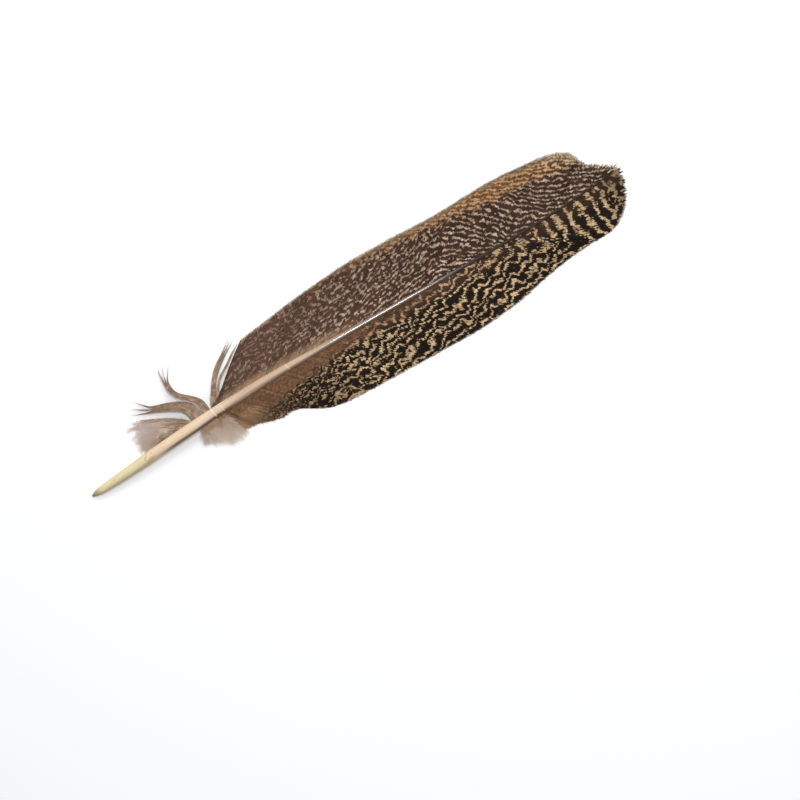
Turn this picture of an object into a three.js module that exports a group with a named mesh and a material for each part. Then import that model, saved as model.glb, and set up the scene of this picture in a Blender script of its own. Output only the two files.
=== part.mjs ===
// A mottled brown pheasant feather that lies on its face with its glossy back up.
//
// Millimetres, +Z up. The feather is drawn from its quill tip: station runs along the straight
// line from the quill tip to the point, sideways is positive on the left web. The finished
// group is moved so that its origin is at the middle of its length and breadth, on the surface
// it lies on, with +X towards the point and +Y towards the left web.

import * as THREE from "three";

// ---------------------------------------------------------------- driving dimensions

const CLEARANCE = 0.3; // between pieces that touch in the real feather
const MIDDLE_STATION = 152.5; // station of the origin
const MIDDLE_SIDEWAYS = 0; // sideways place of the origin

// Shaft: station, sideways sweep, height of the centre line, width, depth.
const SHAFT = [
  [0, -0.3, 0.7, 1.6, 1.4],
  [4, -0.35, 1.6, 3.6, 3.1],
  [12, -0.3, 2.5, 4.8, 4.4],
  [27, 0.05, 3.4, 5.9, 5.4],
  [49, 0.95, 4.3, 6.1, 5.7],
  [60, 1.2, 4.7, 6.0, 5.6],
  [71, 1.6, 5.0, 5.5, 5.2],
  [82, 1.75, 5.2, 5.0, 4.8],
  [105, 1.5, 5.6, 4.3, 4.2],
  [125, 0.65, 5.7, 3.6, 3.6],
  [140, 0.1, 5.7, 3.1, 3.2],
  [180, -1.75, 5.2, 2.3, 2.5],
  [215, -3.3, 4.3, 1.8, 2.0],
  [250, -4.3, 3.2, 1.5, 1.6],
  [280, -4.1, 2.1, 1.1, 1.2],
  [302, -2.8, 1.2, 0.6, 0.7],
];
const SHAFT_SIDES = 12;
const SHAFT_STEPS = 44;
const SHAFT_STEP_GROWTH = 1.25; // steps are shorter at the quill tip

// Webs: station of a barb's root, then station and sideways place of its tip.
const LEFT_WEB = [
  [77, 101.5, 25.8],
  [86, 117, 27.2],
  [101, 137, 29.0],
  [124, 166, 30.0],
  [142, 186, 29.0],
  [171, 215, 26.8],
  [200, 245, 26.4],
  [219, 264, 24.4],
  [236, 279, 21.8],
  [247, 287, 18.0],
  [257, 290, 13.2],
  [269, 292.5, 7.8],
  [283, 298.5, 3.8],
  [293, 302, 0.7],
  [299, 304.5, -1.2],
];
const RIGHT_WEB = [
  [73.5, 80, -13.4],
  [77, 88, -14.8],
  [80, 94, -16.8],
  [82.5, 99.5, -18.2],
  [85, 104, -17.8],
  [88, 109.5, -19.6],
  [91, 115, -23.2],
  [94.5, 121, -26.6],
  [99, 128, -28.6],
  [106, 138, -29.8],
  [126, 163, -31.6],
  [150, 188, -33.2],
  [165, 204, -34.0],
  [178, 216, -33.8],
  [190, 228, -32.8],
  [200, 238, -31.2],
  [211, 248, -29.5],
  [222, 258, -28.3],
  [240, 274, -27.6],
  [253, 286, -27.6],
  [264, 294.5, -23.8],
  [275, 300.5, -17.0],
  [286, 303.5, -11.0],
  [294, 304.5, -7.0],
  [299, 305, -3.9],
];
// Tufts of down at the foot of the webs, whose barbs point back towards the quill tip.
const LEFT_DOWN = [
  [42, 30.5, 5.8],
  [49, 30.5, 11.0],
  [55, 31.5, 16.0],
  [60.5, 33.5, 20.0],
];
const RIGHT_DOWN = [
  [62, 60, -8.5],
  [67, 67, -14.0],
  [71.5, 75, -17.5],
];

const WEB_THICKNESS = 0.8;
const WEB_STEPS_ALONG = 40;
const WEB_STEPS_ACROSS = 8;
const DOWN_STEPS_ALONG = 6;
const DOWN_STEPS_ACROSS = 6;
const RESTING_FROM = 0.875; // share of a barb's length where it starts to lie on the surface
const CAMBER = 1.5; // how late a web bends down to the surface
const BARB_BOW = 0.55; // a barb bends a little towards the point
const DOWN_BOW = 0.62; // down leaves the shaft nearly square and sweeps back

// Strands of barbs that have come unhooked from the left web: station, sideways place, height
// and width, from the shaft to the tip.
const STRANDS = {
  loose_strand_near_web: [
    [76.0, 5.35, 4.4, 0.9],
    [82.0, 14.0, 2.6, 1.1],
    [89.6, 19.0, 1.3, 1.0],
    [99.0, 25.6, 0.8, 0.8],
  ],
  loose_strand_forward: [
    [73.4, 5.9, 4.4, 3.0],
    [76.6, 10.4, 3.5, 2.6],
    [79.5, 14.8, 2.7, 2.4],
    [84.0, 19.6, 1.8, 2.5],
    [90.0, 23.7, 1.2, 2.2],
    [96.5, 27.0, 0.8, 1.4],
  ],
  loose_strand_upright: [
    [69.2, 5.1, 4.4, 3.3],
    [68.6, 9.6, 4.6, 3.3],
    [65.9, 13.4, 4.9, 3.0],
    [62.2, 17.0, 5.0, 2.8],
    [60.1, 20.4, 5.0, 2.5],
    [59.5, 25.0, 4.6, 2.5],
    [60.2, 29.6, 4.0, 2.2],
    [62.0, 33.74, 3.4, 1.6],
  ],
  loose_strand_backward: [
    [63.9, 5.1, 4.2, 6.0],
    [62.9, 9.4, 3.9, 5.8],
    [60.2, 12.8, 3.5, 5.0],
    [55.5, 15.8, 2.8, 4.5],
    [49.5, 18.6, 2.0, 3.7],
    [44.6, 20.9, 1.5, 3.0],
    [40.8, 24.0, 1.2, 2.2],
  ],
};
const STRAND_THICKNESS = 0.7;
const STRAND_STEPS = 14;

const HORN = new THREE.MeshStandardMaterial({ color: 0xd9c9a0, roughness: 0.4, metalness: 0 });
const LEFT_BARBS = new THREE.MeshStandardMaterial({ color: 0x4a382b, roughness: 0.75, metalness: 0 });
const RIGHT_BARBS = new THREE.MeshStandardMaterial({ color: 0x5b4330, roughness: 0.75, metalness: 0 });
const DOWN = new THREE.MeshStandardMaterial({ color: 0x9a8672, roughness: 0.9, metalness: 0 });

// ---------------------------------------------------------------- helpers

// Smooth curve through the rows of a table, read by the station in its first column.
function track(rows) {
  const stations = rows.map((row) => row[0]);
  const values = rows.flatMap((row) => row.slice(1));
  const curve = new THREE.CubicInterpolant(stations, values, rows[0].length - 1);
  return (station) => Array.from(curve.evaluate(station));
}

// Moves every vertex of a unit geometry, whose coordinates run from -0.5 to 0.5, to its place.
function shaped(geometry, place) {
  const vertices = geometry.attributes.position;
  const vertex = new THREE.Vector3();
  for (let i = 0; i < vertices.count; i += 1) {
    vertex.fromBufferAttribute(vertices, i);
    const moved = place(vertex.x + 0.5, vertex.y + 0.5, vertex.z + 0.5);
    vertices.setXYZ(i, moved.x, moved.y, moved.z);
  }
  geometry.computeVertexNormals();
  return geometry;
}

function piece(name, geometry, material) {
  const mesh = new THREE.Mesh(geometry, material);
  mesh.name = name;
  return mesh;
}

// ---------------------------------------------------------------- shaft

const shaftAt = track(SHAFT);
const shaftLength = SHAFT.at(-1)[0];

// The quill and the shaft are one tapering horn rod, oval in section.
function shaft() {
  const rod = new THREE.CylinderGeometry(0.5, 0.5, 1, SHAFT_SIDES, SHAFT_STEPS);
  return shaped(rod, (across, along, up) => {
    const station = shaftLength * along ** SHAFT_STEP_GROWTH;
    const [sideways, height, width, depth] = shaftAt(station);
    return new THREE.Vector3(
      station,
      sideways - (across - 0.5) * width,
      height + (up - 0.5) * depth,
    );
  });
}

// ---------------------------------------------------------------- webs and down

// A point on the sheet of barbs: share 0 is at the shaft and share 1 at the barb's tip.
function barbPoint(tips, root, share, side, bow) {
  const [sideways, height, width] = shaftAt(root);
  const start = new THREE.Vector2(root, sideways + side * (width / 2 + CLEARANCE));
  const end = new THREE.Vector2(...tips(root));
  const bend = new THREE.Vector2(
    THREE.MathUtils.lerp(start.x, end.x, 1 - bow),
    THREE.MathUtils.lerp(start.y, end.y, bow),
  );
  const plan = new THREE.QuadraticBezierCurve(start, bend, end).getPoint(share);
  const droop = Math.min(1, share / RESTING_FROM) ** CAMBER;
  const lift = THREE.MathUtils.lerp(height, WEB_THICKNESS / 2, droop);
  return new THREE.Vector3(plan.x, plan.y, lift);
}

// A thin cambered sheet of barbs on one side of the shaft, 1 for left and -1 for right.
function web(rows, side, stepsAlong, stepsAcross, bow) {
  const tips = track(rows);
  const first = rows[0][0];
  const last = rows.at(-1)[0];
  const sheet = new THREE.BoxGeometry(1, 1, 1, stepsAlong, stepsAcross, 1);
  return shaped(sheet, (along, across, up) => {
    const root = THREE.MathUtils.lerp(first, last, along);
    const share = side > 0 ? across : 1 - across;
    const point = barbPoint(tips, root, share, side, bow);
    point.z += (up - 0.5) * WEB_THICKNESS;
    return point;
  });
}

// ---------------------------------------------------------------- loose strands

// A flat ribbon of barbs along a curve through its points.
function strand(rows) {
  const route = new THREE.CatmullRomCurve3(rows.map(([x, y, z]) => new THREE.Vector3(x, y, z)));
  const widths = new THREE.SplineCurve(rows.map((row, i) => new THREE.Vector2(i, row[3])));
  const ribbon = new THREE.BoxGeometry(1, 1, 1, STRAND_STEPS, 2, 1);
  return shaped(ribbon, (along, across, up) => {
    const point = route.getPoint(along);
    const heading = route.getTangent(along).setZ(0).normalize();
    const width = widths.getPoint(along).y;
    const offset = (across - 0.5) * width;
    return new THREE.Vector3(
      point.x - heading.y * offset,
      point.y + heading.x * offset,
      point.z + (up - 0.5) * STRAND_THICKNESS,
    );
  });
}

// ---------------------------------------------------------------- the feather

const feather = new THREE.Group();
feather.add(piece("shaft", shaft(), HORN));
feather.add(piece(
  "left_web",
  web(LEFT_WEB, 1, WEB_STEPS_ALONG, WEB_STEPS_ACROSS, BARB_BOW),
  LEFT_BARBS,
));
feather.add(piece(
  "right_web",
  web(RIGHT_WEB, -1, WEB_STEPS_ALONG, WEB_STEPS_ACROSS, BARB_BOW),
  RIGHT_BARBS,
));
feather.add(piece(
  "left_down_tuft",
  web(LEFT_DOWN, 1, DOWN_STEPS_ALONG, DOWN_STEPS_ACROSS, DOWN_BOW),
  DOWN,
));
feather.add(piece(
  "right_down_tuft",
  web(RIGHT_DOWN, -1, DOWN_STEPS_ALONG, DOWN_STEPS_ACROSS, DOWN_BOW),
  DOWN,
));
for (const [name, rows] of Object.entries(STRANDS)) {
  feather.add(piece(name, strand(rows), LEFT_BARBS));
}
feather.position.set(-MIDDLE_STATION, -MIDDLE_SIDEWAYS, 0);

export default feather;
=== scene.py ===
"""A mottled pheasant feather, modelled barb by barb around its measured frame.

Lengths are in millimetres in the feather's own lines: station runs from the quill tip towards the
point, sideways is positive on the left web, and reach runs out from the shaft on either side.
"""

import math

import bmesh
import bpy
import numpy as np
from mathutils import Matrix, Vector


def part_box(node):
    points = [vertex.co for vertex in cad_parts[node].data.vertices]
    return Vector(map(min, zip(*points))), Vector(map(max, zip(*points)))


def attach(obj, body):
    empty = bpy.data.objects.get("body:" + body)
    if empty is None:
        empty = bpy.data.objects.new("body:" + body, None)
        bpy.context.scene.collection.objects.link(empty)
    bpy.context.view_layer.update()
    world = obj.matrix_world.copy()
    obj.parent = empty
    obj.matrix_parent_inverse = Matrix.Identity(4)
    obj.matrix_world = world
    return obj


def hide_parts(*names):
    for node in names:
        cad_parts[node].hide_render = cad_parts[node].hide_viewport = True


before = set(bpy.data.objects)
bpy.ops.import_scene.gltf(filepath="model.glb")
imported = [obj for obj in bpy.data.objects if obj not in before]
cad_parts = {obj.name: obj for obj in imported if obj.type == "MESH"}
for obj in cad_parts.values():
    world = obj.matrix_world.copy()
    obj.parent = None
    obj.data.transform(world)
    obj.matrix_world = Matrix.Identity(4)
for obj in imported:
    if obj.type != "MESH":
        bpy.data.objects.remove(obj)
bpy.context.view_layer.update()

bl_info = {
    "name": "Mottled pheasant feather",
    "version": (1, 0, 0),
    "blender": (4, 5, 0),
    "location": "View3D > Sidebar > Feather",
    "description": "Models a pheasant feather barb by barb around its measured frame",
    "category": "Add Mesh",
}

# ------------------------------------------------------------------ the feather's lines

MM = 0.001
LEFT, RIGHT = 1, -1
ORIGIN_STATION = -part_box("shaft")[0][0] / MM  # station of the frame's origin
ORIGIN_SIDEWAYS = 0.0

# Station, sideways sweep, height of the centre line, width, depth.
SHAFT = [
    (0, -0.3, 0.7, 1.6, 1.4),
    (4, -0.35, 1.6, 3.6, 3.1),
    (12, -0.3, 2.5, 4.8, 4.4),
    (27, 0.05, 3.4, 5.9, 5.4),
    (49, 0.95, 4.3, 6.1, 5.7),
    (60, 1.2, 4.7, 6.0, 5.6),
    (71, 1.6, 5.0, 5.5, 5.2),
    (82, 1.75, 5.2, 5.0, 4.8),
    (105, 1.5, 5.6, 4.3, 4.2),
    (125, 0.65, 5.7, 3.6, 3.6),
    (140, 0.1, 5.7, 3.1, 3.2),
    (180, -1.75, 5.2, 2.3, 2.5),
    (215, -3.3, 4.3, 1.8, 2.0),
    (250, -4.3, 3.2, 1.5, 1.6),
    (280, -4.1, 2.1, 1.1, 1.2),
    (302, -2.8, 1.2, 0.6, 0.7),
]
# Station of a barb's root, then station and sideways place of its tip.
LEFT_WEB = [
    (77, 101.5, 25.8),
    (86, 117, 27.2),
    (101, 137, 29.0),
    (124, 166, 30.0),
    (142, 186, 29.0),
    (171, 215, 26.8),
    (200, 245, 26.4),
    (219, 264, 24.4),
    (236, 279, 21.8),
    (247, 287, 18.0),
    (257, 290, 13.2),
    (269, 292.5, 7.8),
    (283, 298.5, 3.8),
    (293, 302, 0.7),
    (299, 304.5, -1.2),
    (302, 305, -2.8),
]
# Short barbs that join the roots of the loose strands to the left web, above the surface.
LEFT_FOOT = [
    (73.0, 76.4, 7.4),
    (75.5, 79.4, 9.4),
    (78.0, 83.0, 11.0),
]
RIGHT_WEB = [
    (73.5, 80, -13.4),
    (77, 88, -14.8),
    (80, 94, -16.8),
    (82.5, 99.5, -18.2),
    (85, 104, -17.8),
    (88, 109.5, -19.6),
    (91, 115, -23.2),
    (94.5, 121, -26.6),
    (99, 128, -28.6),
    (106, 138, -29.8),
    (126, 163, -31.6),
    (150, 188, -33.2),
    (165, 204, -34.0),
    (178, 216, -33.8),
    (190, 228, -32.8),
    (200, 238, -31.2),
    (211, 248, -29.5),
    (222, 258, -28.3),
    (240, 274, -27.6),
    (253, 286, -27.6),
    (264, 294.5, -23.8),
    (275, 300.5, -17.0),
    (286, 303.5, -11.0),
    (294, 304.5, -7.0),
    (299, 305, -3.9),
    (302, 305, -2.6),
]
LEFT_DOWN = [
    (42, 30.5, 5.8),
    (49, 30.5, 11.0),
    (55, 31.5, 16.0),
    (60.5, 33.5, 20.0),
]
RIGHT_DOWN = [
    (62, 60, -8.5),
    (67, 67, -14.0),
    (71.5, 75, -17.5),
]
# One more row carries the right tuft on beneath the web.
RIGHT_DOWN_END = (76, 81, -15.5)
# Brown barbs that cover the root of the left tuft of down.
LEFT_COVER = [
    (48, 41.0, 6.6),
    (54, 43.0, 8.4),
    (60.5, 46.5, 10.2),
]
# Longer brown barbs along its far edge.
LEFT_EDGE = [
    (58.6, 35.6, 18.2),
    (59.6, 37.0, 18.4),
    (60.6, 39.6, 17.4),
]
# Station, sideways place, height and width, from the shaft to the tip.
STRANDS = {
    "loose_strand_near_web": [
        (76.0, 5.35, 4.4, 0.9),
        (82.0, 14.0, 2.6, 1.1),
        (89.6, 19.0, 1.3, 1.0),
        (99.0, 25.6, 0.8, 0.8),
    ],
    "loose_strand_forward": [
        (73.4, 5.9, 4.4, 3.0),
        (76.6, 10.4, 3.5, 2.6),
        (79.5, 14.8, 2.7, 2.4),
        (84.0, 19.6, 1.8, 2.5),
        (90.0, 23.7, 1.2, 2.2),
        (96.5, 27.0, 0.8, 1.4),
    ],
    "loose_strand_upright": [
        (69.2, 5.1, 4.4, 3.3),
        (68.6, 9.6, 4.6, 3.3),
        (65.9, 13.4, 4.9, 3.0),
        (62.2, 17.0, 5.0, 2.8),
        (60.1, 20.4, 5.0, 2.5),
        (59.5, 25.0, 4.6, 2.5),
        (60.2, 29.6, 4.0, 2.2),
        (62.0, 33.74, 3.4, 1.6),
    ],
    "loose_strand_backward": [
        (63.9, 5.1, 4.2, 6.0),
        (62.9, 9.4, 3.9, 5.8),
        (60.2, 12.8, 3.5, 5.0),
        (55.5, 15.8, 2.8, 4.5),
        (49.5, 18.6, 2.0, 3.7),
        (44.6, 20.9, 1.5, 3.0),
        (40.8, 24.0, 1.2, 2.2),
    ],
}
# Station and sideways place of the wisps that each strand ends in, from its left edge to its right.
WISPS = {
    "loose_strand_near_web": [(101.2, 26.4), (101.6, 26.0)],
    "loose_strand_forward": [(97.4, 29.6), (98.8, 29.0), (98.6, 27.6)],
    "loose_strand_upright": [(60.2, 37.2), (62.9, 36.6), (66.4, 35.0)],
    "loose_strand_backward": [(35.2, 23.6), (37.4, 26.2), (40.6, 29.4)],
}
# Slits in the right web: station of the root, shares of the barbs' length where it opens and
# closes, and half its width.
SLITS = [(83.0, 0.28, 0.66, 0.42)]
# Barbs in each part of the down, and the height that their ends droop to.
FAN = {"count": 66, "rest": 0.5}
COVER = {"count": 40, "rest": 4.6}
EDGE = {"count": 16, "rest": 1.6}
DOWNY_BARBS = 30  # barbs at the foot of the right web that carry down too
WEB_REST = 0.35  # height of the webs' outer strips, which lie on the surface
FOOT_REST = 3.5  # height of the ends of the short barbs at the foot of the left web
ROOTED_AT = 0.42  # from the shaft's middle to the roots of the barbs, as a share of its width
RESTING_FROM = 0.875  # share of a barb's length where it starts to lie on the surface
CAMBER = 1.5  # how late a web bends down to the surface
BARB_BOW = 0.55  # a barb bends a little towards the point
DOWN_BOW = 0.62  # down leaves the shaft nearly square and sweeps back
BARB_STEPS, STRAND_STEPS, DOWN_STEPS = 16, 26, 14  # points along one barb of each kind
GROOVE = (78, 98)  # stations between which the shaft is squared up and grooved beneath

# Sections, as shares of width to the left and of depth upwards. The left edge of a barb of a web
# lies over the right edge of its neighbour.
SHINGLE = [(0.5, 0.15), (0.0, 0.5), (-0.5, -0.15), (0.0, -0.5)]
RIBBON = [(0.5, 0.0), (0.0, 0.5), (-0.5, 0.0), (0.0, -0.5)]
HAIR = [(0.5, -0.3), (0.0, 0.6), (-0.5, -0.3)]


def tint(code):
    """Linear colour of a six-figure screen colour."""
    shares = [int(code[i:i + 2], 16) / 255 for i in (1, 3, 5)]
    return tuple(s / 12.92 if s <= 0.04045 else ((s + 0.055) / 1.055) ** 2.4 for s in shares)


def colour_property(name, description, code):
    return bpy.props.FloatVectorProperty(
        name=name, description=description, default=tint(code), subtype="COLOR", size=3,
        min=0.0, max=1.0,
    )


def number_property(name, description, default, **settings):
    return bpy.props.FloatProperty(
        name=name, description=description, default=default, **settings,
    )


def length_property(name, description, millimetres):
    return number_property(
        name, description, millimetres * MM, min=0.0, subtype="DISTANCE", unit="LENGTH",
        precision=5,
    )


class FeatherShape(bpy.types.PropertyGroup):
    barb_pitch: length_property("Barb pitch", "Distance between barbs along the shaft", 0.5)
    barb_thickness: length_property("Barb thickness", "Depth of one barb of a web", 0.22)
    free_end: length_property("Free end", "Length at a barb's tip that hooks to no neighbour", 1.0)
    ragged: length_property("Ragged edge", "How much neighbouring barbs differ in length", 0.5)
    strand_pitch: length_property("Strand pitch", "Distance between barbs in a loose strand", 0.34)
    down_pitch: length_property("Down pitch", "Distance between the side hairs of down", 0.6)
    down_hair: length_property("Down hair", "Length of the side hairs of down", 4.2)
    seed: bpy.props.IntProperty(
        name="Seed", description="Start of the random draws", default=7, min=0,
    )


class FeatherColours(bpy.types.PropertyGroup):
    quill_end: colour_property("Quill end", "Brown of the very end of the quill", "#a08a68")
    quill: colour_property("Quill", "Straw colour of the bare quill", "#e3d5ab")
    quill_cream: colour_property("Quill cream", "Cream of the quill under the first barbs", "#e6ccae")
    shaft_tan: colour_property("Shaft tan", "Tan of the lower shaft", "#c6a98f")
    shaft_brown: colour_property("Shaft brown", "Brown of the middle of the shaft", "#7d6656")
    shaft_dark: colour_property("Shaft dark", "Dark brown of the upper shaft", "#3a2d25")
    ring: colour_property("Rings", "Pale rings round the shaft", "#f3e6da")
    # Painted shadow, partly the shaft's own darker colour: a brown line down the right side of the
    # shaft, where a shadow falls along its lower edge.
    flank_shadow: colour_property("Flank", "Brown line along the shaft's right flank", "#5b3f26")
    left_foot: colour_property("Left foot", "Softer brown at the foot of the left web", "#5b4133")
    left_dark: colour_property("Left dark", "Ground of the left web", "#37251b")
    left_pale: colour_property("Left pale", "Wavy bars of the left web", "#c9b49f")
    margin_brown: colour_property("Margin brown", "Dark lines in the orange margin", "#57381f")
    margin_orange: colour_property("Margin orange", "Orange brown of the left margin", "#79502f")
    margin_buff: colour_property("Margin buff", "Buff lines of the left margin", "#b9956f")
    worn: colour_property("Worn", "Bleached and worn barb ends", "#d8c7a4")
    tan_strip: colour_property("Tan strip", "Tan beside the shaft", "#a98a6e")
    chestnut: colour_property("Chestnut", "Chestnut beside the shaft on the right", "#6b4e38")
    rust: colour_property("Rust", "Rusty patches beside the shaft", "#8f5a38")
    black: colour_property("Black brown", "Ground of the right web", "#1c130c")
    fleck_edge: colour_property("Fleck edge", "Brown round the flecks of the right web", "#4d3927")
    buff: colour_property("Buff", "Flecks and bars of the right web", "#d6be93")
    pink_buff: colour_property("Pink buff", "Warmer flecks of the right web", "#d0a782")
    strand: colour_property("Strand", "Loose strands of the left web", "#b39881")
    underside: colour_property("Underside", "Paler, plainer lower faces of the barbs", "#8f7d6c")
    down_cover: colour_property("Down cover", "Brown barbs over the root of the down", "#a3866f")
    down_inner: colour_property("Inner down", "Down close to the shaft", "#f0dccb")
    down_outer: colour_property("Outer down", "Free ends of the down", "#f6e6da")
    down_tan: colour_property("Tan down", "Down under the foot of the right web", "#c6a37c")
    down_cream: colour_property("Cream down", "Free ends of the right tuft of down", "#fdf0dc")


class FeatherStage(bpy.types.PropertyGroup):
    floor: colour_property("Floor", "Plain pale floor", "#fcfdff")
    box_power: number_property(
        "Soft box", "Power of the long soft box overhead", 7.0, min=0.0, unit="POWER",
    )
    key_power: number_property(
        "Key light", "Power of the soft light beyond the feather", 4.2, min=0.0, unit="POWER",
    )
    sky: number_property("Sky", "Strength of the even light from all round", 0.4, min=0.0)
    lens: number_property("Lens", "Focal length of the camera", 85.0, min=10.0, unit="CAMERA")
    azimuth: number_property(
        "Azimuth", "Turn of the camera about the upright", math.radians(-32.644),
        subtype="ANGLE", unit="ROTATION",
    )
    elevation: number_property(
        "Elevation", "Angle of the camera above the floor", math.radians(84.0),
        subtype="ANGLE", unit="ROTATION",
    )
    distance: number_property(
        "Distance", "From the camera to the point it looks at", 0.92377,
        subtype="DISTANCE", unit="LENGTH",
    )
    target: bpy.props.FloatVectorProperty(
        name="Target", description="Point on the floor that the camera looks at",
        default=(-0.00114, -0.04135, 0.0), size=3, subtype="TRANSLATION", unit="LENGTH",
    )


# ------------------------------------------------------------------ curves and fibres


def track(rows, stations):
    """Smooth values of each column of a table at these stations."""
    table = np.array(rows, float)
    keys, values = table[:, 0], table[:, 1:]
    secants = np.diff(values, axis=0) / np.diff(keys)[:, None]
    slopes = np.zeros_like(values)
    slopes[1:-1] = (secants[:-1] + secants[1:]) / 2
    stations = np.asarray(stations, float)
    at = np.clip(np.searchsorted(keys, stations, side="right") - 1, 0, len(keys) - 2)
    gap = (keys[at + 1] - keys[at])[..., None]
    t = np.clip((stations - keys[at])[..., None] / gap, 0, 1)
    return (
        values[at] * (1 + 2 * t) * (1 - t) ** 2
        + values[at + 1] * t * t * (3 - 2 * t)
        + gap * slopes[at] * t * (1 - t) ** 2
        - gap * slopes[at + 1] * t * t * (1 - t)
    )


def smoothstep(low, high, value):
    t = np.clip((value - low) / (high - low), 0, 1)
    return t * t * (3 - 2 * t)


def web_lines(rows, side, roots, shares, bow, rest=WEB_REST):
    """Centre lines of barbs: one row of points for each root, at its own shares of the length."""
    sideways, height, width, _ = track(SHAFT, roots).T
    tips = track(rows, roots)
    start = np.stack([roots, sideways + side * width * ROOTED_AT], 1)
    bend = np.stack([
        start[:, 0] * bow + tips[:, 0] * (1 - bow),
        start[:, 1] * (1 - bow) + tips[:, 1] * bow,
    ], 1)
    t = shares[..., None]
    plan = (1 - t) ** 2 * start[:, None] + 2 * t * (1 - t) * bend[:, None] + t * t * tips[:, None]
    droop = np.clip(t / RESTING_FROM, 0, 1) ** CAMBER
    lift = height[:, None, None] * (1 - droop) + rest * droop
    return np.concatenate([plan, lift], 2)


def side_vectors(lines):
    """Level unit vectors to the left of each line's heading."""
    heading = np.gradient(lines, axis=1)
    across = np.stack([-heading[..., 1], heading[..., 0], np.zeros(lines.shape[:2])], 2)
    return across / np.maximum(np.linalg.norm(across, axis=2, keepdims=True), 1e-9)


def run_lengths(lines):
    """Length along each line from its root to each of its points."""
    pieces = np.linalg.norm(np.diff(lines, axis=1), axis=2)
    return np.concatenate([np.zeros((len(lines), 1)), np.cumsum(pieces, axis=1)], 1)


def fibres(lines, widths, depths, section, tone, reach=None):
    """Closed strips that follow the lines, with the marks that the materials read.

    The marks are the same all round a strip, so that each barb keeps its own colours.
    """
    count, steps = lines.shape[:2]
    section = np.array(section, float)
    sides = len(section)
    points = (
        lines[:, :, None]
        + side_vectors(lines)[:, :, None] * section[None, None, :, :1] * widths[..., None, None]
        + np.array([0, 0, 1]) * section[None, None, :, 1:] * depths[..., None, None]
    )
    ring = np.arange(count * steps * sides).reshape(count, steps, sides)
    following = np.roll(ring, -1, axis=2)
    quads = np.stack([ring[:, :-1], following[:, :-1], following[:, 1:], ring[:, 1:]], 3)
    faces = quads.reshape(-1, 4).tolist() + ring[:, 0, ::-1].tolist() + ring[:, -1].tolist()

    along = run_lengths(lines)
    if reach is None:
        reach = np.abs(lines[..., 1] - track(SHAFT, lines[..., 0])[..., 0])
    roots = np.broadcast_to(lines[:, :1, 0], along.shape)
    barb = np.stack([roots, along, along[:, -1:] - along], 2).reshape(-1, 3)
    place = np.stack([lines[..., 0], reach, lines[..., 2]], 2).reshape(-1, 3)
    marks = {
        "barb": np.repeat(barb, sides, axis=0),
        "place": np.repeat(place, sides, axis=0),
        "tone": np.repeat(tone, steps * sides),
        "across": np.tile(section[:, 0] * 2, count * steps),
        "upward": np.tile(section[:, 1] * 2, count * steps),
    }
    return points.reshape(-1, 3), faces, marks


def join(*bundles):
    """One bundle of fibres out of several."""
    points, faces, shift = [], [], 0
    for some_points, some_faces, _ in bundles:
        points.append(some_points)
        faces += [[corner + shift for corner in face] for face in some_faces]
        shift += len(some_points)
    marks = {key: np.concatenate([bundle[2][key] for bundle in bundles]) for key in bundles[0][2]}
    return np.concatenate(points), faces, marks


def side_hairs(lines, rng, pitch, length, start=0.1, spread=0.8):
    """Fine curved hairs on both sides of each line, and how far along its line each one grows."""
    hairs, grown = [], []
    steps = np.linspace(0, 1, 4)[None]
    for line, run in zip(lines, run_lengths(lines)):
        places = np.arange(run[-1] * start, run[-1], pitch)
        places = places + rng.uniform(-0.4, 0.4, len(places)) * pitch
        at = np.stack([np.interp(places, run, line[:, axis]) for axis in range(3)], 1)
        ahead = np.stack([np.interp(places + 0.3, run, line[:, axis]) for axis in range(2)], 1)
        heading = np.arctan2(ahead[:, 1] - at[:, 1], ahead[:, 0] - at[:, 0])
        for side in (LEFT, RIGHT):
            angle = heading + side * rng.normal(spread, 0.2, len(places))
            reach = length * rng.uniform(0.5, 1.15, len(places)) * (1 - 0.5 * places / run[-1])
            turn = angle[:, None] + side * rng.normal(-0.4, 0.25, len(places))[:, None] * steps
            rise = rng.normal(-0.04, 0.13, len(places))[:, None]
            out = reach[:, None] * steps
            hairs.append(np.stack([
                at[:, :1] + out * np.cos(turn),
                at[:, 1:2] + out * np.sin(turn),
                np.maximum(at[:, 2:] + out * rise, 0.1),
            ], 2))
            grown.append(places)
    return np.concatenate(hairs), np.concatenate(grown)


def hair_fibres(hairs, grown, rng, width=0.055):
    taper = width * np.array([1.0, 0.9, 0.75, 0.5]) * np.ones((len(hairs), 1))
    return fibres(
        hairs, taper, taper, HAIR, rng.normal(0, 0.8, len(hairs)),
        reach=grown[:, None] + run_lengths(hairs) * 0.6,
    )


def make_piece(name, bundle, material):
    """A mesh object at the origin, in the place of the CAD node of this name."""
    points, faces, marks = bundle
    place = (points - (ORIGIN_STATION, ORIGIN_SIDEWAYS, 0)) * MM
    mesh = bpy.data.meshes.new(f"{name}_fibres")
    mesh.from_pydata(place.tolist(), [], faces)
    for mark, values in marks.items():
        kind, field = ("FLOAT_VECTOR", "vector") if values.ndim == 2 else ("FLOAT", "value")
        mesh.attributes.new(mark, kind, "POINT").data.foreach_set(field, values.ravel())
    mesh.materials.append(material)
    mesh.update()
    piece = bpy.data.objects.new(mesh.name, mesh)
    bpy.context.collection.objects.link(piece)
    add_flat_map(mesh)
    finish_piece(piece, name)


def finish_piece(piece, node):
    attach(piece, "root")
    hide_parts(node)


def read_all(items, name, kind=float, width=1):
    """One property of all items of a mesh, as an array with a row for each item."""
    values = np.empty(len(items) * width, kind)
    items.foreach_get(name, values)
    return values.reshape(-1, width) if width > 1 else values


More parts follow.
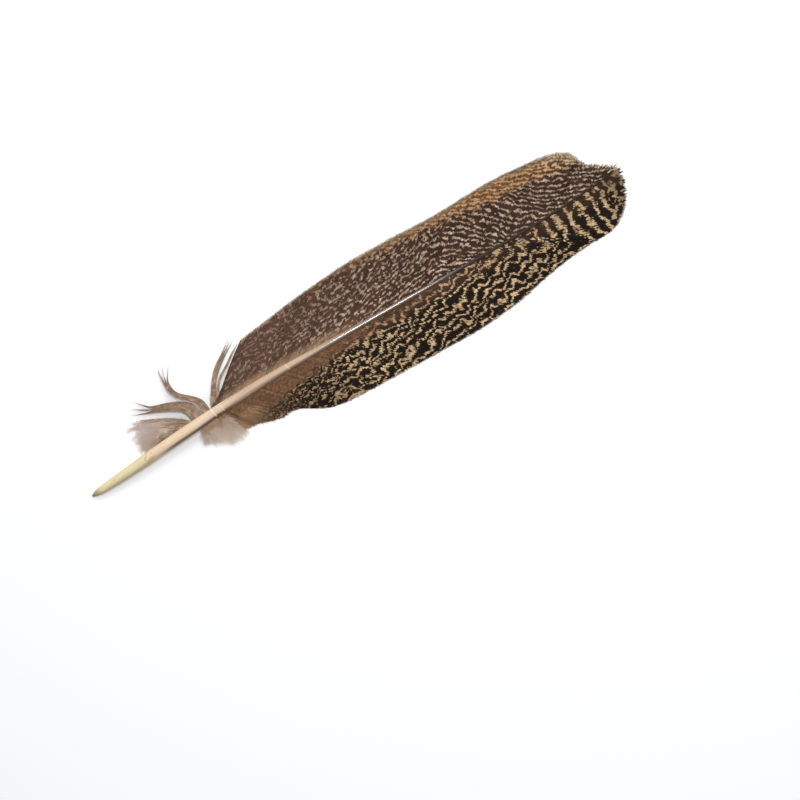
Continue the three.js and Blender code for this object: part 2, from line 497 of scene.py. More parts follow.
def add_flat_map(mesh):
    """A bake map drawn from above, with upper faces in one half and lower faces in the other."""
    corners = read_all(mesh.loops, "vertex_index", int)
    places = read_all(mesh.vertices, "co", width=3)[:, :2]
    normals = read_all(mesh.polygons, "normal", width=3)
    upper = np.repeat(normals[:, 2] >= 0, read_all(mesh.polygons, "loop_total", int))
    flat = 0.01 + 0.98 * ((places - places.min(0)) / np.ptp(places, axis=0))[corners]
    flat[:, 1] = flat[:, 1] / 2 + np.where(upper, 0.5, 0.0)
    mesh.uv_layers.new(name="OFBake").data.foreach_set("uv", flat.ravel())


# ------------------------------------------------------------------ shader nodes


class Value:
    """A number, vector or colour that shader nodes work out, with the usual signs for sums."""

    def __init__(self, tree, socket):
        self.tree, self.socket = tree, socket

    def __add__(self, other):
        return maths("ADD", self, other)

    def __radd__(self, other):
        return maths("ADD", other, self)

    def __sub__(self, other):
        return maths("SUBTRACT", self, other)

    def __rsub__(self, other):
        return maths("SUBTRACT", other, self)

    def __mul__(self, other):
        return maths("MULTIPLY", self, other)

    def __truediv__(self, other):
        return maths("DIVIDE", self, other)

    def __rtruediv__(self, other):
        return maths("DIVIDE", other, self)


def feed(value, socket):
    """Links a socket to a value, or sets it to a plain number or colour."""
    if isinstance(value, Value):
        value.tree.links.new(value.socket, socket)
    elif socket.type == "RGBA":
        socket.default_value = (*value[:3], 1.0)
    else:
        socket.default_value = value


def tree_of(values):
    return next(value.tree for value in values if isinstance(value, Value))


def set_inputs(node, values):
    """Feeds values to the inputs of a node by their names."""
    for name, value in values.items():
        feed(value, node.inputs[name])


def new_node(tree, kind, *values, **settings):
    """A node with these settings, and with the values in its first inputs."""
    node = tree.nodes.new(f"ShaderNode{kind}")
    for name, setting in settings.items():
        setattr(node, name, setting)
    for value, socket in zip(values, node.inputs):
        feed(value, socket)
    return node


def maths(operation, *values):
    tree = tree_of(values)
    return Value(tree, new_node(tree, "Math", *values, operation=operation).outputs[0])


def between(value, low, high, start=0.0, end=1.0, smooth=True):
    """Runs from start to end while the value runs from low to high."""
    node = new_node(
        value.tree, "MapRange", value, low, high, start, end, clamp=True,
        interpolation_type="SMOOTHSTEP" if smooth else "LINEAR",
    )
    return Value(value.tree, node.outputs[0])


def mix(factor, first, second, blend="MIX"):
    """A blend of two colours, which are the seventh and eighth inputs of the node."""
    tree = tree_of((factor, first, second))
    node = new_node(tree, "Mix", factor, data_type="RGBA", blend_type=blend)
    feed(first, node.inputs[6])
    feed(second, node.inputs[7])
    return Value(tree, node.outputs[2])


def ramp(value, stops):
    """Blends from one colour to the next as the value passes their places."""
    colour = stops[0][2]
    for start, end, following in stops[1:]:
        colour = mix(between(value, start, end), colour, following)
    return colour


def noise(vector, size, detail=2.0):
    """Cloudy noise from 0 to 1, whose lumps are about as wide as the size."""
    node = new_node(vector.tree, "TexNoise", vector)
    set_inputs(node, {"Scale": 1.0 / size, "Detail": detail})
    return Value(vector.tree, node.outputs[0])


def swing(vector, size, amount, detail=2.0):
    """Noise that swings about zero, to about plus and minus the amount."""
    return (noise(vector, size, detail) - 0.5) * 4.0 * amount


def combine(x, y, z=0.0):
    tree = tree_of((x, y, z))
    return Value(tree, new_node(tree, "CombineXYZ", x, y, z).outputs[0])


def mark(tree, name, output="Fac"):
    """A number, or a vector, that the mesh carries at its points."""
    return Value(tree, new_node(tree, "Attribute", attribute_name=name).outputs[output])


def mark_parts(tree, name):
    """The three parts of a vector that the mesh carries at its points."""
    parts = new_node(tree, "SeparateXYZ", mark(tree, name, "Vector"))
    return [Value(tree, part) for part in parts.outputs]


def feather_place(tree, stretch=(1.0, 1.0, 1.0)):
    """Object coordinates in millimetres, with the station as x."""
    place = new_node(tree, "TexCoord").outputs["Object"]
    mapping = new_node(tree, "Mapping", Value(tree, place))
    set_inputs(mapping, {
        "Scale": [share / MM for share in stretch],
        "Location": (ORIGIN_STATION * stretch[0], ORIGIN_SIDEWAYS * stretch[1], 0),
    })
    return Value(tree, mapping.outputs[0])


def shaded(colour, shade):
    """A colour made lighter or darker by a value."""
    return mix(1.0, colour, combine(shade, shade, shade), "MULTIPLY")


def add_bump(shader, height, strength, depth):
    """Raises the surface by a height that runs over the depth, in millimetres."""
    bump = new_node(height.tree, "Bump")
    set_inputs(bump, {"Strength": strength, "Distance": depth * MM, "Height": height})
    feed(Value(height.tree, bump.outputs[0]), shader.inputs["Normal"])


# ------------------------------------------------------------------ shared effects

# Direction of a barb in the plane of its web.
BARB_AHEAD, BARB_OUT = math.cos(math.radians(36)), math.sin(math.radians(36))
BARBULE_PITCH = 0.13  # between the fine ribs that cross a barb
WAVY_LINES = {
    "Phase": 0.0, "Spacing": 2.1, "Sway": 1.1, "Wobble": 0.4, "Wobble size": 3.4, "Detail": 2.0,
    "Share": 0.3, "Softness": 0.1, "Jitter": 0.3, "Gaps": 0.4, "Strokes": 0.2,
}
# The grain of the barbs, with painted shade along the edges of each barb, in the seams between
# neighbours.
BARB_GRAIN_AND_SHADE = {"Strength": 0.16, "Ridge": 0.12, "Streak": 0.1}


def new_group(name, inputs, outputs):
    """An empty node group with named number inputs and outputs. Returns it and its two ends."""
    tree = bpy.data.node_groups.new(name, "ShaderNodeTree")
    for label, default in inputs.items():
        socket = tree.interface.new_socket(label, in_out="INPUT", socket_type="NodeSocketFloat")
        socket.default_value = default
    for label in outputs:
        tree.interface.new_socket(label, in_out="OUTPUT", socket_type="NodeSocketFloat")
    given = tree.nodes.new("NodeGroupInput").outputs
    out = tree.nodes.new("NodeGroupOutput").inputs
    return tree, {label: Value(tree, given[label]) for label in inputs}, out


def use_group(tree, name, build, **values):
    """Places a shared effect in a material, and builds it the first time."""
    node = tree.nodes.new("ShaderNodeGroup")
    node.node_tree = bpy.data.node_groups.get(name) or build(name)
    set_inputs(node, {label.replace("_", " ").capitalize(): values[label] for label in values})
    return {output.name: Value(tree, output) for output in node.outputs}


def wavy_lines(tree, **values):
    return use_group(tree, "Wavy lines", build_wavy_lines, **values)


def build_wavy_lines(name):
    """Pale wavy lines along the whole steps of a phase, which sway, break up and join.

    Each barb carries its own stretch of a line, a little ahead of its neighbour's or behind it.
    """
    tree, given, out = new_group(name, WAVY_LINES, ["Mask", "Halo"])
    station, reach, _ = mark_parts(tree, "place")
    slip = mark(tree, "tone") * given["Jitter"]
    place = combine(station + slip * BARB_AHEAD, reach + slip * BARB_OUT)
    phase = (
        given["Phase"] + slip
        + swing(place, 13.0, given["Sway"], 1.0)
        + swing(place, given["Wobble size"], given["Wobble"], given["Detail"])
    )
    wave = maths("PINGPONG", phase / given["Spacing"], 0.5) * 2.0
    root, along, _ = mark_parts(tree, "barb")
    thread = combine(root, along / 2.2)
    level = (
        wave + swing(place, 2.4, given["Gaps"], 1.0) + swing(thread, 0.9, given["Strokes"], 1.0)
    )
    share, softness = given["Share"], given["Softness"]
    feed(between(level, share - softness, share + softness, 1.0, 0.0), out["Mask"])
    feed(between(level, share, share + 0.45, 1.0, 0.0), out["Halo"])
    return tree


def build_barb_grain_and_shade(name):
    """Lightness that differs from barb to barb, painted shade along the edges of each barb in the
    seams between neighbours, and the fine slanted ribs of the barbules.
    """
    tree, given, out = new_group(name, BARB_GRAIN_AND_SHADE, ["Shade", "Height"])
    root, along, _ = mark_parts(tree, "barb")
    across = maths("ABSOLUTE", mark(tree, "across"))
    tone = mark(tree, "tone") * given["Strength"]
    # Painted shade: each barb darkens towards its edges, in the seams between barbs.
    edge_shade = across * given["Ridge"] * -1.0
    patch = swing(combine(root, along), 8.0, given["Strength"])
    streak = swing(combine(root, along / 7.0), 0.6, given["Streak"], 1.0)
    feed(1.0 + tone + edge_shade + patch + streak, out["Shade"])
    rib = along * (2 * math.pi / BARBULE_PITCH) + across * 3.0
    feed(maths("SINE", rib), out["Height"])
    return tree


# ------------------------------------------------------------------ materials


def new_material(name, roughness, specular):
    material = bpy.data.materials.new(name)
    material.use_nodes = True
    tree = material.node_tree
    shader = tree.nodes["Principled BSDF"]
    set_inputs(shader, {"Roughness": roughness, "Specular IOR Level": specular})
    return material, tree, shader


def barb_finish(colours, shader, colour, **grain_and_shade_values):
    """Adds the grain of the barbs, with painted shade along their edges, to a colour and to the
    surface, and pales their lower faces.
    """
    tree = colour.tree
    grain = use_group(tree, "Barb grain and seam shade", build_barb_grain_and_shade, **grain_and_shade_values)
    under = between(mark(tree, "upward"), -0.3, -0.9, 0.0, 0.65)
    colour = mix(under, colour, colours.underside)
    feed(shaded(colour, grain["Shade"]), shader.inputs["Base Color"])
    add_bump(shader, grain["Height"], strength=0.4, depth=0.02)


def left_barb_material(colours):
    """Dark brown with thin pale wavy lines, and an orange-buff margin towards the point."""
    material, tree, shader = new_material("left barbs", 0.6, 0.15)
    station, reach, _ = mark_parts(tree, "place")
    root, _, left_over = mark_parts(tree, "barb")
    place = combine(station, reach)
    # The outer half of the lower web has duller, more crooked lines.
    outer = between(reach, 9, 17) * between(station, 215, 190)
    # Lines run level beside the lower shaft, steepen past station 205 and ease towards the point.
    turn = maths("SMOOTH_MAX", station - 203, 0.0, 12.0)
    ease = maths("SMOOTH_MAX", station - 250, 0.0, 20.0)
    spread = between(station, 192, 220, 0.9, 0.47) + between(station, 245, 275, 0.0, 0.2)
    close = maths("LOGARITHM", 1.0 + maths("MAXIMUM", reach, 0.0), math.e)
    lines = wavy_lines(
        tree,
        phase=turn * 0.7 - station * 0.15 - ease * 0.15 + reach * spread + close,
        softness=between(station, 95, 220, 0.22, 0.1),
        wobble=0.55 + outer * 0.6,
        sway=between(station, 130, 165, 1.8, 1.3),
        gaps=between(station, 140, 190, 0.9, 0.6) + between(station, 205, 225, 0.0, -0.12),
        share=between(station, 110, 190, 0.2, 0.24),
        strokes=between(station, 110, 170, 0.6, 0.2),
    )["Mask"]
    ground = mix(between(station, 100, 215), colours.left_foot, colours.left_dark)
    cloud = between(noise(place, 7.0), 0.4, 0.6)
    ground = mix(cloud * 0.3, ground, colours.left_foot)
    warm = between(noise(place, 4.0), 0.42, 0.62)
    pale = mix(warm, colours.left_pale, colours.tan_strip)
    strength = (
        between(station, 90, 185, 0.4, 1.0) * (1.0 - outer * 0.25)
        * between(noise(place, 1.4, 1.0), 0.36, 0.54, 0.55, 1.0)
    )
    colour = mix(lines * strength, ground, pale)

    border = (
        between(station, 150, 215, 27.3, 25.5, smooth=False)
        + between(station, 215, 292, 0.0, -10.5, smooth=False)
    )
    inside = reach - border + swing(place, 5.0, 3.0)
    margin = between(inside, -1.2, 1.4) * between(station, 150, 232, 0.25, 1.0)
    buff_lines = wavy_lines(
        tree, phase=station * 0.45 + reach * 0.9, spacing=2.1, sway=1.0, wobble=0.75,
        share=0.38, softness=0.16, gaps=0.6, jitter=0.25, strokes=0.35,
    )["Mask"]
    buff = mix(between(station, 265, 288, 0.0, 0.6), colours.margin_buff, colours.worn)
    orange = mix(
        between(station, 250, 275, 0.0, 0.5), colours.margin_orange, colours.margin_brown,
    )
    specks = between(noise(place, 1.2, 1.0), 0.5, 0.58)
    orange = mix(specks * 0.8, orange, colours.margin_brown)
    orange = mix(between(left_over, 7.0, 2.0) * 0.3, orange, colours.worn)
    colour = mix(margin, colour, mix(buff_lines, orange, buff))

    strip = between(reach, 1.8, 6.4, 1.0, 0.0) * between(station, 165, 115)
    colour = mix(strip * 0.85, colour, colours.tan_strip)
    fringe = (
        between(left_over, 3.2, 0.2)
        * (between(station, 195, 215, 1.0, 0.5) + between(station, 268, 290, 0.0, 0.5))
        * between(noise(place, 0.8, 1.0), 0.44, 0.55)
    )
    colour = mix(fringe, colour, colours.worn)
    colour = mix(between(root, 79.0, 76.0, 0.0, 0.6), colour, colours.left_dark)
    grains = between(noise(place, 1.0, 1.0), 0.47, 0.55)
    rim = between(left_over, 6.0, 2.0) * grains * margin * 0.8
    colour = mix(rim, colour, colours.margin_brown)
    barb_finish(colours, shader, colour)
    return material


def right_barb_flecks(tree, station, reach, place):
    """Mask of the buff flecks, and of the brown halo round them."""
    # Jagged chains run along the web and rise a little towards the shaft. Past station 240 they
    # turn into bars across the web, beside the shaft first, and near the point into small flecks.
    turn = maths("SMOOTH_MAX", station - 240, 0.0, 8.0)
    chains = station * 0.33 - turn * 0.15 + reach
    bars = station * 0.65 - reach * 0.05 - 70.5
    phase = maths("SMOOTH_MAX", chains, bars, 2.0)
    barred = between(bars - chains, -1.0, 4.0)
    upper = between(station, 148, 185)
    coarse = wavy_lines(
        tree, phase=phase, spacing=4.2, wobble_size=4.0,
        wobble=1.8 - upper * 0.5 - barred * 0.5,
        sway=3.2 - barred * 2.2,
        detail=0.2, share=0.26 - upper * 0.03 + barred * 0.03,
        gaps=between(station, 284, 296, 0.28, 1.5), jitter=0.5, softness=0.07,
        strokes=0.6 - upper * 0.22,
    )
    # The flecks of the lower web are finer.
    fine = wavy_lines(
        tree, phase=phase, spacing=2.4, wobble_size=2.6, wobble=1.0, sway=2.0, detail=0.4,
        share=0.19, gaps=0.5, jitter=0.4, softness=0.07, strokes=0.5,
    )
    beyond = station + swing(place, 5.0, 10.0)
    return [between(beyond, 127, 131, fine[part], coarse[part]) for part in ("Mask", "Halo")]


def right_barb_material(colours):
    """Chestnut beside the shaft, then near black with jagged buff flecks that end in bars."""
    material, tree, shader = new_material("right barbs", 0.6, 0.12)
    station, reach, _ = mark_parts(tree, "place")
    left_over = mark_parts(tree, "barb")[2]
    place = combine(station, reach)
    mask, halo = right_barb_flecks(tree, station, reach, place)
    warm = between(noise(place, 3.5), 0.46, 0.58)
    near = between(reach, 10, 4)
    buff = mix(warm * 0.75, colours.buff, colours.pink_buff)
    buff = mix(between(noise(place, 1.3, 1.0), 0.42, 0.6, 0.0, 0.3), buff, colours.fleck_edge)
    dulling = near * between(station, 215, 175, 0.25, 0.85)
    buff = mix(dulling, buff, mix(warm, colours.tan_strip, colours.rust))
    buff = mix(between(station, 160, 108, 0.0, 0.65), buff, colours.chestnut)
    buff = mix(between(station, 284, 298, 0.0, 0.55), buff, colours.fleck_edge)
    warmth = near * between(station, 225, 190, 0.3, 0.6)
    warmth = maths("MAXIMUM", warmth, between(station, 116, 96, 0.0, 0.6))
    black = mix(warmth, colours.black, colours.left_foot)
    black = mix(halo * 0.55, black, colours.fleck_edge)
    colour = mix(mask, black, buff)

    depth = (
        between(station, 84, 160, 15.5, 2.6, smooth=False)
        + between(station, 180, 230, 0.0, -5.0, smooth=False)
    )
    inner = reach + swing(place, 3.0, 4.0, 3.0) + mark(tree, "tone") * 0.6 - depth
    speckle = (
        between(noise(place, 1.2), 0.38, 0.62, 0.76, 1.33) * between(station, 130, 165, 1.06, 0.8)
    )
    rust_patch = between(noise(place, 6.0), 0.54, 0.64) * between(station, 100, 140, 0.25, 0.6)
    brown = mix(rust_patch, colours.chestnut, colours.rust)
    colour = mix(between(inner, 1.6, -1.6), colour, shaded(brown, speckle))
    strip = between(reach, 0.5, 3.5, 1.0, 0.0) * between(station, 150, 90)
    colour = mix(strip * 0.2, colour, colours.tan_strip)
    colour = mix(between(left_over, 1.4, 0.1, 0.0, 0.15), colour, colours.buff)
    fluff = between(station, 98, 80) * between(reach, 5, 12)
    colour = mix(fluff * 0.5, colour, colours.down_tan)
    barb_finish(colours, shader, colour)
    return material


def strand_material(colours):
    """Plain brown barbs with soft darker patches and pale ends."""
    material, tree, shader = new_material("loose strands", 0.65, 0.15)
    station, reach, _ = mark_parts(tree, "place")
    left_over = mark_parts(tree, "barb")[2]
    patch = between(noise(combine(station, reach), 2.5), 0.35, 0.65)
    colour = mix(patch * 0.4, colours.strand, colours.left_foot)
    colour = mix(between(left_over, 6.0, 0.0), colour, colours.down_outer)
    # Stronger painted shade in the seams between the barbs of a strand.
    barb_finish(colours, shader, colour, ridge=0.35, streak=0.4)
    return material


def down_material(name, colours, root_colour, free_colour, brown_edge=0.0):
    """Soft down that pales towards its free ends, and lets light through."""
    material, tree, shader = new_material(name, 0.9, 0.1)
    set_inputs(shader, {
        "Subsurface Weight": 0.25, "Subsurface Radius": (1.0, 0.8, 0.7),
        "Subsurface Scale": 0.3 * MM,
    })
    reach = mark_parts(tree, "place")[1]
    # The barbs nearest the web stay brown for longer.
    browner = between(mark_parts(tree, "barb")[0], 56.0, 60.5, 0.0, brown_edge)
    length = reach + swing(feather_place(tree), 3.5, 2.0) - browner
    colour = mix(between(length, 1.0, 6.0), root_colour, colours.down_inner)
    colour = mix(between(length, 7.0, 18.0), colour, free_colour)
    barb_finish(colours, shader, colour, ridge=0.0, streak=0.0)
    return material


# Pale rings round the shaft: station, half width and strength.
RINGS = ((71.4, 0.5, 0.8), (74.6, 0.35, 0.4), (76.1, 0.45, 0.5), (113.6, 0.5, 0.4))


def horn_material(colours):
    """Translucent straw quill, cream shaft that darkens, and a glossy dark brown upper shaft."""
    material, tree, shader = new_material("horn", 0.4, 0.35)
    station, side = mark(tree, "station"), mark(tree, "side")
    place = feather_place(tree)
    colour = ramp(station + swing(place, 2.0, 0.8), [
        (0, 0, colours.quill_end),
        (0.8, 6.0, colours.quill),
        (32, 36, colours.quill_cream),
        (64, 92, colours.shaft_tan),
        (112, 160, colours.shaft_brown),
        (170, 215, colours.shaft_dark),
    ])
    # Pith that shows through the end of the bare quill.
    pith = (
        between(station, 29, 32) * between(station, 37.5, 34.5)
        * between(noise(place, 1.6), 0.47, 0.6) * 0.45
    )
    colour = mix(pith, colour, colours.tan_strip)
    # Painted shadow, partly the shaft's own darker colour: a brown line down the right side of the
    # cream shaft, from station 33 to 92.
    line = between(side, -0.45, -0.8) * between(station, 33, 50) * between(station, 92, 74) * 0.9
    colour = mix(line, colour, colours.flank_shadow)
    # Painted shade: the lower right side of the bare quill's end darkens towards the brown of the
    # quill end, up to station 40.
    rim = between(side, -0.45, -0.85, 0.0, 0.5) * between(station, 40, 32)
    colour = mix(rim, colour, colours.quill_end)
    # Browner towards the right side of the shaft from station 70, most from 120 to 160, and gone by
    # 200.
    right_side_brown = (
        between(side, -0.1, -0.85) * between(station, 70, 120, 0.15, 0.75)
        * between(station, 200, 160)
    )
    colour = mix(right_side_brown, colour, colours.left_foot)
    slanted = station + side * 0.5
    on_back = between(side, -0.95, -0.65)
    for ring, width, strength in RINGS:
        offset = maths("ABSOLUTE", slanted - ring)
        pale = between(offset, width, width * 0.3, 0.0, strength) * on_back
        colour = mix(pale, colour, colours.ring)
    streak = noise(feather_place(tree, (0.04, 1.0, 1.0)), 0.5, 3.0)
    fleck = noise(feather_place(tree, (0.4, 1.0, 1.0)), 0.35)
    # Streaks and flecks of the horn, and painted light and shade: the left side of the shaft, towards
    # the light, is lighter and the right side darker.
    shade = (
        between(streak, 0.3, 0.7, 0.9, 1.07) * between(fleck, 0.3, 0.7, 0.95, 1.04)
        * between(side, -0.6, 0.5, 0.9, 1.06)
    )
    set_inputs(shader, {
        "Base Color": shaded(colour, shade),
        "Roughness": between(streak, 0.3, 0.7, 0.34, 0.46),
        "Specular IOR Level": between(station, 140, 200, 0.35, 0.1),
        "Coat Weight": between(station, 105, 145, 0.05, 1.0) * between(station, 225, 195),
        "Coat Roughness": 0.1,
        "Coat IOR": 1.6,
    })
    add_bump(shader, streak, strength=0.1, depth=0.05)
    return material


def floor_material(stage):
    material, _, shader = new_material("pale floor", 0.8, 0.2)
    feed(stage.floor, shader.inputs["Base Color"])
    return material


# ------------------------------------------------------------------ pieces


def deselect_all():
    if bpy.context.mode != "OBJECT":
        bpy.ops.object.mode_set(mode="OBJECT")
    bpy.ops.object.select_all(action="DESELECT")


def clumped_tones(rng, count):
    """A random tone for each barb, partly shared by the two or three that cling together."""
    clump = rng.normal(0, 1, count // 3 + 1)[np.arange(count) // 3]
    return np.clip(0.6 * clump + 0.45 * rng.normal(0, 1, count), -1.6, 1.6)


def web_barbs(rows, side, shape, rng, stretch, slits=(), rest=WEB_REST):
    """Lines and fibres of one web, whose barbs overlap like shingles to a ragged margin."""
    pitch = shape.barb_pitch / MM
    roots = np.arange(rows[0][0] - 2.0, rows[-1][0] + pitch / 2, pitch)
    tone = clumped_tones(rng, len(roots))
    span = np.linalg.norm(track(rows, roots) - np.stack([roots, 0 * roots], 1), axis=1)
    ragged = shape.ragged / MM * (1 + 1.5 * smoothstep(268, 288, roots))
    length = stretch + (rng.normal(0, 0.4, len(roots)) + 0.5 * tone) * ragged / span
    shares = np.linspace(0, 1, BARB_STEPS) ** 0.9
    lines = web_lines(rows, side, roots, shares[None] * length[:, None], BARB_BOW, rest)

    step = np.gradient(lines[..., :2], axis=0)
    heading = np.gradient(lines[..., :2], axis=1)
    heading /= np.linalg.norm(heading, axis=2, keepdims=True)
    gap = np.abs(heading[..., 0] * step[..., 1] - heading[..., 1] * step[..., 0])
    gap = np.clip(gap, 0.12, np.linalg.norm(step, axis=2))
    for root, opens, closes, opening in slits:
        place = roots - root
        push = np.sign(place) * np.exp(-np.abs(place) / 5.0) * opening
        amount = smoothstep(opens, (opens + closes) / 2, shares)
        amount = amount * smoothstep(closes + 0.2, closes, shares)
        lines[..., 0] += push[:, None] * amount[None]

    along = run_lengths(lines)
    left_over = along[:, -1:] - along
    hook = smoothstep(0, shape.free_end / MM, left_over)
    widths = gap * (0.4 + 0.95 * hook)
    depths = np.full_like(widths, shape.barb_thickness / MM) * (0.4 + 0.6 * hook)
    lines[..., 2] += 0.05 * tone[:, None] * smoothstep(0.05, 0.3, shares)[None]
    lines[..., 2] = np.maximum(lines[..., 2], depths * 0.55 + 0.01)
    return lines, fibres(lines, widths, depths, SHINGLE, tone)


def strand_piece(name, material, shape, rng):
    """A ribbon of barbs that has come unhooked, with its end split in a few wisps."""
    rows = STRANDS[name]
    shares = np.linspace(0, 1, STRAND_STEPS)
    keyed = [(i, *row) for i, row in enumerate(rows)]
    route = track(keyed, shares * (len(rows) - 1))
    centre, width = route[:, :3], route[:, 3]
    # The CAD strand stops short of the shaft, but its barbs grow out of it.
    to_shaft = track(SHAFT, rows[0][0])[0] + 1.0 - rows[0][1]
    centre[:, 1] += to_shaft * smoothstep(0.1, 0.0, shares)
    count = max(3, round(width.max() / (shape.strand_pitch / MM)))
    place = 0.5 - (np.arange(count) + 0.5) / count
    wisp_tips = np.array(WISPS[name])
    wisp = (np.arange(count) * len(wisp_tips)) // count
    lines = np.tile(centre, (count, 1, 1))
    lines += side_vectors(lines) * (place[:, None] * width[None])[..., None]
    splay = smoothstep(0.74, 1.0, shares)[None]
    aim = wisp_tips[wisp] + rng.normal(0, 0.3, (count, 2)) - lines[:, -1, :2]
    lines[..., :2] += splay[..., None] * aim[:, None]
    lines[..., 2] += rng.normal(0, 0.05, (count, 1)) + 0.35 * splay * rng.normal(0, 1, (count, 1))
    cut = rng.uniform(0.88, 1.0, count)
    for line, share in zip(lines, cut):
        line[:] = np.stack([np.interp(shares * share, shares, column) for column in line.T], 1)
    along = run_lengths(lines)
    hook = smoothstep(0, 5.0, along[:, -1:] - along)
    widths = (width / count)[None] * (0.35 + 1.0 * hook)
    depths = 0.28 * (0.35 + 0.65 * hook)
    lines[..., 2] = np.maximum(lines[..., 2], 0.2)
    bundle = fibres(lines, widths, depths, SHINGLE, rng.normal(0, 0.8, count))
    fluff, grown = side_hairs(lines[:, :8], rng, pitch=1.6, length=1.6, start=0.0)
    bundle = join(bundle, hair_fibres(fluff, grown, rng, width=0.04))
    make_piece(name, bundle, material)


def down_barbs(rows, side, rng, count, rest):
    """Soft drooping lines of down, each with its own length and sway."""
    step = (rows[-1][0] - rows[0][0]) / count
    roots = rows[0][0] + (np.arange(count) + rng.uniform(0, 1, count)) * step
    shares = np.linspace(0, 1, DOWN_STEPS)[None] * rng.uniform(0.7, 1.04, count)[:, None]
    lines = web_lines(rows, side, roots, shares, DOWN_BOW, rest)
    ripple = 0.3 * np.sin(shares * rng.uniform(4, 9, (count, 1)) + rng.uniform(0, 6, (count, 1)))
    sway = rng.normal(0, 0.8, (count, 1)) * shares ** 1.5 + ripple * shares
    lines[..., :2] += side_vectors(lines)[..., :2] * sway[..., None]
    lines[..., 2] += rng.uniform(-0.9, 0.5, (count, 1)) * np.sin(shares * math.pi)
    lines[..., 2] = np.maximum(lines[..., 2], 0.15)
    return lines


def down_fibres(lines, rng, shape, length):
    stems = 0.15 * (1 - 0.6 * np.linspace(0, 1, lines.shape[1]))[None] * np.ones((len(lines), 1))
    hairs, grown = side_hairs(lines, rng, shape.down_pitch / MM, length)
    return join(
        fibres(lines, stems, stems, HAIR, rng.normal(-0.3, 0.6, len(lines)), run_lengths(lines)),
        hair_fibres(hairs, grown, rng),
    )


# ------------------------------------------------------------------ operators


class FEATHER_OT_stage(bpy.types.Operator):
    """Lay a pale floor, set soft studio lights and place the camera"""

    bl_idname = "feather.stage"
    bl_label = "Stage"

    def execute(self, context):
        stage = context.scene.feather_stage
        deselect_all()
        bpy.ops.mesh.primitive_plane_add(size=6.0)
        floor = context.object
        floor.name = "floor"
        floor.data.materials.append(floor_material(stage))

        world = bpy.data.worlds.new("soft sky")
        world.use_nodes = True
        background = world.node_tree.nodes["Background"]
        set_inputs(background, {"Color": (1.0, 1.0, 1.0), "Strength": stage.sky})
        context.scene.world = world
        context.scene.view_settings.view_transform = "Standard"

        for name, place, size, power in (
            ("soft box", (0.15, 0.0, 1.2), (0.16, 0.5), stage.box_power),
            ("key light", (0.38, 0.6, 0.8), (0.5, 0.5), stage.key_power),
        ):
            bpy.ops.object.light_add(type="AREA", location=place)
            light = context.object
            light.name = name
            light.data.shape = "RECTANGLE"
            light.data.size, light.data.size_y = size
            light.data.energy = power
            if name == "key light":
                light.rotation_euler = (-Vector(place)).to_track_quat("-Z", "Y").to_euler()

        forward = Vector((-math.sin(stage.azimuth), math.cos(stage.azimuth), 0.0))
        forward = forward * math.cos(stage.elevation) - Vector((0, 0, math.sin(stage.elevation)))
        bpy.ops.object.camera_add(location=Vector(stage.target) - forward * stage.distance)
        camera = context.object
        camera.name = "camera"
        camera.data.lens = stage.lens
        camera.data.clip_start = 0.01
        camera.rotation_euler = forward.to_track_quat("-Z", "Y").to_euler()
        context.scene.camera = camera
        return {"FINISHED"}


